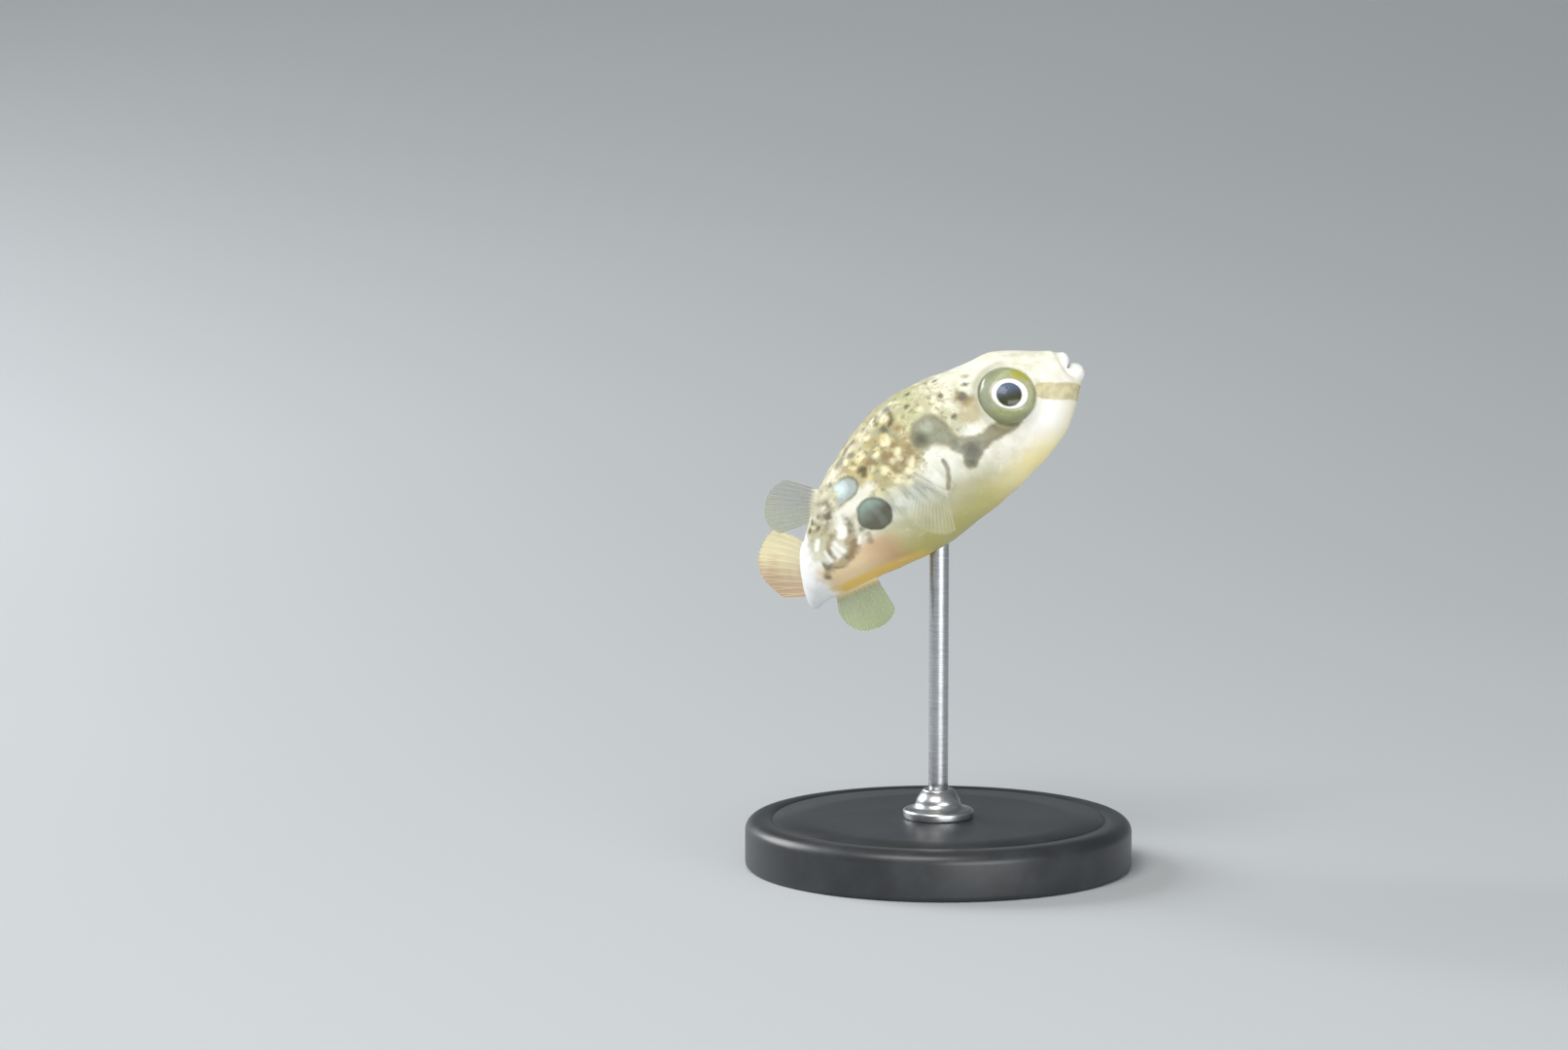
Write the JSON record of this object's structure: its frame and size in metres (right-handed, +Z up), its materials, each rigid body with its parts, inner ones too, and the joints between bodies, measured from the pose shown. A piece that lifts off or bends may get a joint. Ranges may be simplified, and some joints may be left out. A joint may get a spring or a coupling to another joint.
{
  "type": "freshwater dwarf pufferfish display model",
  "caption": "Life-size freshwater dwarf pufferfish, head up and tail swept aside, held on a round stand by a thin rod.",
  "frame": {"origin": "centre of the stand base's underside, on the rod's axis", "axes": "+Z up along the rod, +X the way the head points, -Y the way the fish's right flank faces"},
  "size_m": [0.024, 0.024, 0.032],
  "materials": {
    "skin": "wet, glossy skin, cream with dark blotches",
    "lip": "smooth white flesh",
    "eye": "clear and wet, dark pupil in a white and olive ring",
    "fin": "thin translucent membrane with rays",
    "tail_fin": "thin translucent membrane, yellow to peach",
    "stand_paint": "satin black",
    "stand_steel": "satin"
  },
  "bodies": {
    "root": {"head": "skin", "trunk": "skin", "tail_stalk": "skin", "lip_upper": "lip", "lip_lower": "lip", "eye_right": "eye", "eye_left": "eye", "fin_dorsal": "fin", "fin_anal": "fin", "fin_caudal": "tail_fin", "fin_pectoral_right": "fin", "fin_pectoral_left": "fin", "stand_base": "stand_paint", "stand_boss": "stand_steel", "stand_rod": "stand_steel"}
  },
  "joints": []
}
